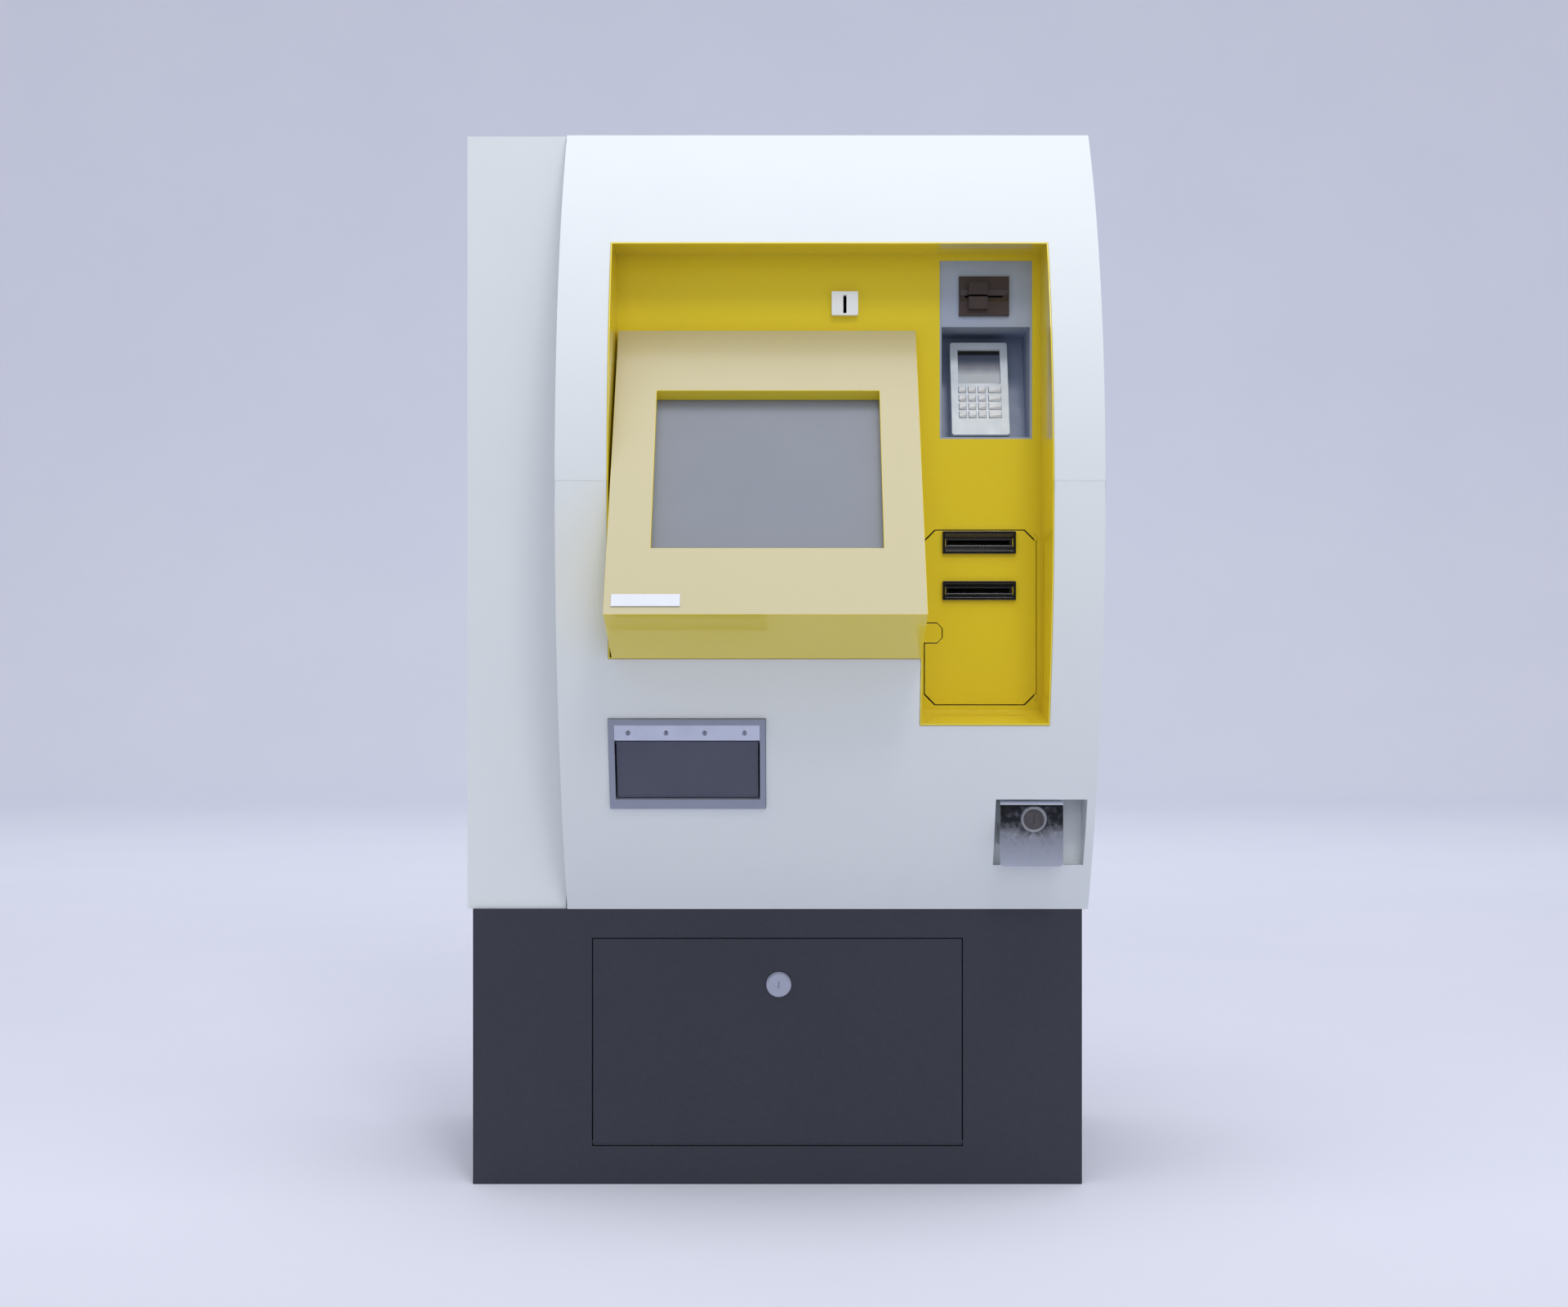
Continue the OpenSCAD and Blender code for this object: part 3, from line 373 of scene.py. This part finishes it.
def make_materials():
    """One finish for each of the record's material slots."""
    across = (1.0, 60.0, 60.0)
    return {
        "white_paint": white_paint(),
        "yellow_paint": yellow_paint(),
        "cream_paint": cream_paint(),
        "plinth_paint": plinth_paint(),
        "screen_glass": screen_glass(),
        "terminal_window": terminal_window(),
        "chrome_plate": chrome_plate(),
        "black_plastic": moulded("black_plastic", (0.009, 0.009, 0.012), 0.26, (0.014, 0.014, 0.017),
                                 Coat_Weight=0.4, Coat_Roughness=0.05),
        "brown_plastic": moulded("brown_plastic", (0.050, 0.036, 0.036), 0.36, (0.062, 0.041, 0.038)),
        "module_grey": moulded("module_grey", (0.10, 0.107, 0.125), 0.5, (0.12, 0.125, 0.14), 500),
        "insert_grey": moulded("insert_grey", (0.37, 0.43, 0.57), 0.40, (0.35, 0.41, 0.55)),
        "silver_plastic": moulded("silver_plastic", (0.70, 0.72, 0.77), 0.27, (0.67, 0.69, 0.75),
                                  Coat_Weight=0.5, Coat_Roughness=0.12),
        "key_plastic": moulded("key_plastic", (0.66, 0.69, 0.76), 0.32, (0.62, 0.65, 0.72)),
        "flap_dark": moulded("flap_dark", (0.062, 0.068, 0.104), 0.38, (0.072, 0.078, 0.115)),
        "satin_steel": metal("satin_steel", (0.60, 0.63, 0.74), 0.38, (0.54, 0.57, 0.68), across),
        "zinc_steel": metal("zinc_steel", (0.50, 0.52, 0.55), 0.42, (0.60, 0.60, 0.60), grain=90),
    }


# ---- shapes ----

WELD = 1e-6
HARD_EDGE = math.radians(24)
SMOOTH_WITHIN = math.cos(math.radians(35))
LEVEL_WITHIN = math.cos(math.radians(0.3))
LEVEL_SHARE = 0.85
EDGE = 0.4 * MM


def welded(mesh):
    """A CAD node's mesh with its triangles joined at their corners."""
    bm = bmesh.new()
    bm.from_mesh(mesh)
    bmesh.ops.remove_doubles(bm, verts=bm.verts, dist=WELD)
    return bm


def weigh_edges(bm, widths):
    """Gives each hard edge a bevel weight; widths(a, b) returns its width in metres."""
    layer = bm.edges.layers.float.new("bevel_weight_edge")
    widest = 0.0
    for edge in bm.edges:
        if len(edge.link_faces) != 2 or edge.calc_face_angle(0) < HARD_EDGE:
            continue
        edge[layer] = widths(*[v.co for v in edge.verts])
        widest = max(widest, edge[layer])
    for edge in bm.edges:
        edge[layer] /= widest
    return widest


def rounded(obj, bm, widths, segments):
    """Puts bm into obj with its hard edges rounded, and its faces shaded smooth."""
    width = weigh_edges(bm, widths)
    bm.to_mesh(obj.data)
    bm.free()
    obj.data.polygons.foreach_set("use_smooth", [True] * len(obj.data.polygons))
    bevel = obj.modifiers.new("round", "BEVEL")
    bevel.limit_method = "WEIGHT"
    bevel.width = width
    bevel.segments = segments
    bevel.use_clamp_overlap = False
    bevel.miter_outer = "MITER_ARC"
    apply_modifiers(obj)
    flatten_normals(obj.data)


def apply_modifiers(obj):
    """Swaps the object's mesh for the one that its modifiers make."""
    bpy.context.view_layer.update()
    shown = obj.evaluated_get(bpy.context.evaluated_depsgraph_get())
    mesh = bpy.data.meshes.new_from_object(shown)
    obj.modifiers.clear()
    old = obj.data
    obj.data = mesh
    bpy.data.meshes.remove(old)


def flatten_normals(mesh):
    """Lets the larger faces decide the shading, so that flat faces look flat up to their edges."""
    around = [[] for _ in mesh.vertices]
    for face in mesh.polygons:
        for vertex in face.vertices:
            around[vertex].append((face.normal.copy(), face.area))
    normals = []
    for face in mesh.polygons:
        for vertex in face.vertices:
            near = [(n, area) for n, area in around[vertex] if n.dot(face.normal) > SMOOTH_WITHIN]
            whole = sum(area for n, area in near)
            level = sum(area for n, area in near if n.dot(face.normal) > LEVEL_WITHIN)
            if level > LEVEL_SHARE * whole:
                normals.append(face.normal.copy())
                continue
            total = Vector()
            for n, area in near:
                total += n * area
            normals.append(total.normalized())
    mesh.normals_split_custom_set(normals)


def even(width):
    """The same edge width all over a piece."""
    return lambda a, b: width


def carry(node, slot, widths=even(EDGE), segments=2):
    """A copy of a CAD node with rounded edges, which stands for it on its own body."""
    source = frame["nodes"][node]
    obj = add_object(node + "_finished", bpy.data.meshes.new(node))
    rounded(obj, welded(source.data), widths, segments)
    obj.data.materials.clear()
    obj.data.materials.append(finishes.get(node, materials[slot]))
    place(obj, source["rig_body"], slot, node)
    return obj


def own_finishes():
    """Finishes of pieces that differ a little from the rest of their material slot."""
    return {
        "pin_terminal_body": moulded("terminal_plastic", (0.64, 0.71, 0.81), 0.34, (0.62, 0.69, 0.79)),
        "coin_slot_bezel": moulded("coin_slot_plastic", (0.91, 0.94, 0.95), 0.30, (0.89, 0.92, 0.93)),
        "delivery_frame": moulded("frame_plastic", (0.265, 0.29, 0.375), 0.42, (0.25, 0.275, 0.36)),
        "delivery_screws": metal("screw_steel", (0.20, 0.21, 0.25), 0.4, (0.27, 0.28, 0.31)),
        "lock_plug": metal("lock_bronze", (0.17, 0.16, 0.17), 0.36, (0.22, 0.20, 0.20), grain=120),
    }


def place(obj, body, slot, node):
    """Hangs a piece on its body and hides the CAD node that it stands for; the slot argument is not
    used.
    """
    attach(obj, body)
    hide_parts(node)


def keep(node, slot):
    """Leaves a CAD node as it is and gives it its finish."""
    mesh = frame["nodes"][node].data
    mesh.materials.clear()
    mesh.materials.append(finishes.get(node, materials[slot]))


# ---- pieces ----

# nodes inside the object, or with only a small flat face in view: their CAD shape is enough
HIDDEN_NODES = {
    "display_panel": "black_plastic", "lock_plug": "satin_steel", "hinge_pins": "satin_steel",
}

# nodes that keep their shape and get rounded edges
SOFT_NODES = {
    "plinth_cabinet": "plinth_paint", "cable_gland": "black_plastic", "power_unit": "module_grey",
    "cabinet_shell": "white_paint", "side_fascia": "white_paint", "rear_vent_panel": "white_paint",
    "case_screws": "zinc_steel", "equipment_shelf": "zinc_steel", "control_computer": "black_plastic",
    "coin_cash_box": "module_grey", "hinge_brackets": "zinc_steel", "lock_keepers": "zinc_steel",
    "hatch_panel": "plinth_paint", "hatch_lock_barrel": "satin_steel",
    "hatch_lock_plug": "satin_steel", "door_shell": "white_paint", "hinge_arms": "zinc_steel",
    "fascia_tray": "yellow_paint", "display_glass": "screen_glass",
    "nameplate": "silver_plastic", "coin_slot_bezel": "silver_plastic",
    "coin_validator": "black_plastic", "reader_insert": "insert_grey",
    "card_reader_bezel": "brown_plastic", "card_reader_unit": "module_grey",
    "pin_terminal_body": "silver_plastic", "pin_terminal_window": "terminal_window",
    "banknote_unit": "module_grey", "delivery_frame": "insert_grey",
    "delivery_chute": "insert_grey", "ticket_printer": "module_grey", "lock_case": "zinc_steel",
    "delivery_flap": "flap_dark", "note_service_panel": "yellow_paint",
    "banknote_bezels": "black_plastic", "handle_paddle": "chrome_plate",
    "upper_lock_rod": "zinc_steel", "lower_lock_rod": "zinc_steel",
}

PANEL_BARREL_X = 0.388


def left_of(x, width):
    """An edge width that stops at a plane, so that a slim hinge barrel keeps its shape."""
    return lambda a, b: width if max(a.x, b.x) < x else 0.0


def dress_hidden_nodes():
    for node, slot in HIDDEN_NODES.items():
        keep(node, slot)


def dress_soft_nodes():
    spared = {"note_service_panel": left_of(PANEL_BARREL_X, EDGE)}
    for node, slot in SOFT_NODES.items():
        carry(node, slot, spared.get(node, even(EDGE)))


DISPLAY_LEAN = math.radians(32.9)
DISPLAY_EDGE = 0.8 * MM
FACES_FRONT = 0.97


def make_display_housing():
    """Yellow housing whose sloping front is paler, with a painted reflection of the overhead light."""
    obj = carry("display_housing", "cream_paint", even(DISPLAY_EDGE), 3)
    obj.data.materials.append(materials["yellow_paint"])
    outward = Vector((0, -math.cos(DISPLAY_LEAN), math.sin(DISPLAY_LEAN)))
    # faces looking straight out of the sloping front get the painted reflection; the rest stay yellow
    for face in obj.data.polygons:
        face.material_index = 0 if face.normal.dot(outward) > FACES_FRONT else 1


def finish_piece(name, bm, matrix, node, slot, width=0.3 * MM):
    """Turns bm, drawn in a tilted frame in millimetres, into a piece that replaces a node."""
    bmesh.ops.recalc_face_normals(bm, faces=bm.faces)
    bmesh.ops.transform(bm, matrix=matrix @ Matrix.Scale(MM, 4), verts=bm.verts)
    obj = add_object(name, bpy.data.meshes.new(name))
    rounded(obj, bm, even(width), 2)
    obj.data.materials.append(finishes.get(node, materials[slot]))
    place(obj, frame["nodes"][node]["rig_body"], slot, node)
    return obj


def tilted(at, degrees):
    """A frame of reference at a point, leaned about X."""
    return Matrix.Translation(at) @ Matrix.Rotation(math.radians(degrees), 4, "X")


ON_TERMINAL = tilted((0.310, -0.221, 1.290), -18.4)
KEY_COLS = ((-26.9, 10.5), (-12.1, 10.5), (3.0, 10.5), (22.8, 18.7))
KEY_ROWS = (80, 94, 108, 122)
KEY_HEIGHT = 10
KEY_FRONT = -2.5
KEY_FOOT = 6.5
FACET_LEFT = 1.2
FACET_RIGHT = 4.5
FACET_SINK_LEFT = 1.0
FACET_SINK_RIGHT = 2.2


def key_mesh(x, width, z):
    """A key whose lower right part falls away in a sloping facet."""
    left, right = x - width / 2, x + width / 2
    low, high = z - KEY_HEIGHT / 2, z + KEY_HEIGHT / 2
    bm = bmesh.new()
    foot = [bm.verts.new(p) for p in ((left, KEY_FOOT, low), (right, KEY_FOOT, low),
                                      (right, KEY_FOOT, high), (left, KEY_FOOT, high))]
    crest = [bm.verts.new(p) for p in ((left, KEY_FRONT + FACET_SINK_LEFT, low),
                                       (right, KEY_FRONT + FACET_SINK_RIGHT, low),
                                       (right, KEY_FRONT, low + FACET_RIGHT),
                                       (right, KEY_FRONT, high), (left, KEY_FRONT, high),
                                       (left, KEY_FRONT, low + FACET_LEFT))]
    bm.faces.new(foot)
    bm.faces.new(crest[2:])
    bm.faces.new((crest[0], crest[1], crest[2]))
    bm.faces.new((crest[0], crest[2], crest[5]))
    bm.faces.new((foot[0], foot[1], crest[1], crest[0]))
    bm.faces.new((foot[1], foot[2], crest[3], crest[2], crest[1]))
    bm.faces.new((foot[2], foot[3], crest[4], crest[3]))
    bm.faces.new((foot[3], foot[0], crest[0], crest[5], crest[4]))
    return bm


def make_keys():
    for row, down in enumerate(KEY_ROWS, 1):
        for col, (x, width) in enumerate(KEY_COLS, 1):
            node = f"key_r{row}c{col}"
            finish_piece(node + "_cap", key_mesh(x, width, -down), ON_TERMINAL, node, "key_plastic")


ON_DELIVERY = tilted((-0.1325, -0.37038, 0.647), 19.7)
STRIP_HALF_WIDTH = 107
STRIP_Z = (38, 62)
STRIP_THICK = 2
STRIP_SCREWS = (-86.5, -30.5, 26, 84.5)
SCREW_Z = 50
SINK_RADIUS = 4
SINK_DEPTH = 1.7
SCREW_HEAD = ((2.9, -0.3), (2.8, -0.9), (2.2, -1.2), (1.0, -1.3))


def ring(bm, x, z, radius, y, steps=32):
    """Vertices on a circle round an axis along Y."""
    angles = [2 * math.pi * i / steps for i in range(steps)]
    return [bm.verts.new((x + radius * math.cos(a), y, z + radius * math.sin(a))) for a in angles]


def bridge(bm, one, other):
    """Faces between two rings with the same number of vertices."""
    for i, vertex in enumerate(one):
        j = (i + 1) % len(one)
        bm.faces.new((vertex, one[j], other[j], other[i]))


def outline_edges(bm, verts):
    return [bm.edges.new((v, verts[(i + 1) % len(verts)])) for i, v in enumerate(verts)]


def strip_corners(bm, y):
    """The strip's outline at one depth."""
    x, (low, high) = STRIP_HALF_WIDTH, STRIP_Z
    return [bm.verts.new(p) for p in ((-x, y, low), (x, y, low), (x, y, high), (-x, y, high))]


def make_delivery_strip():
    """Steel strip with four round sinks for its screws."""
    bm = bmesh.new()
    front = strip_corners(bm, -STRIP_THICK)
    back = strip_corners(bm, 0)
    edges = outline_edges(bm, front)
    for x in STRIP_SCREWS:
        mouth = ring(bm, x, SCREW_Z, SINK_RADIUS, -STRIP_THICK)
        floor = ring(bm, x, SCREW_Z, SINK_RADIUS, SINK_DEPTH - STRIP_THICK)
        edges += outline_edges(bm, mouth)
        bridge(bm, mouth, floor)
        bm.faces.new(floor)
    bmesh.ops.triangle_fill(bm, use_beauty=True, edges=edges)
    bridge(bm, front, back)
    bm.faces.new(back)
    finish_piece("delivery_strip_sunk", bm, ON_DELIVERY, "delivery_strip", "satin_steel", 0.2 * MM)


def make_delivery_screws():
    """Low domed heads at the bottom of the strip's sinks."""
    bm = bmesh.new()
    for x in STRIP_SCREWS:
        rings = [ring(bm, x, SCREW_Z, radius, y, 24) for radius, y in SCREW_HEAD]
        for one, other in zip(rings, rings[1:]):
            bridge(bm, one, other)
        bm.faces.new(rings[-1])
        bm.faces.new(rings[0])
    finish_piece("delivery_screw_heads", bm, ON_DELIVERY, "delivery_screws", "zinc_steel", 0.1 * MM)


make_camera()
make_floor()
make_flag()
make_lights()
materials = make_materials()
finishes = own_finishes()
dress_hidden_nodes()
dress_soft_nodes()
make_display_housing()
make_keys()
make_delivery_strip()
make_delivery_screws()
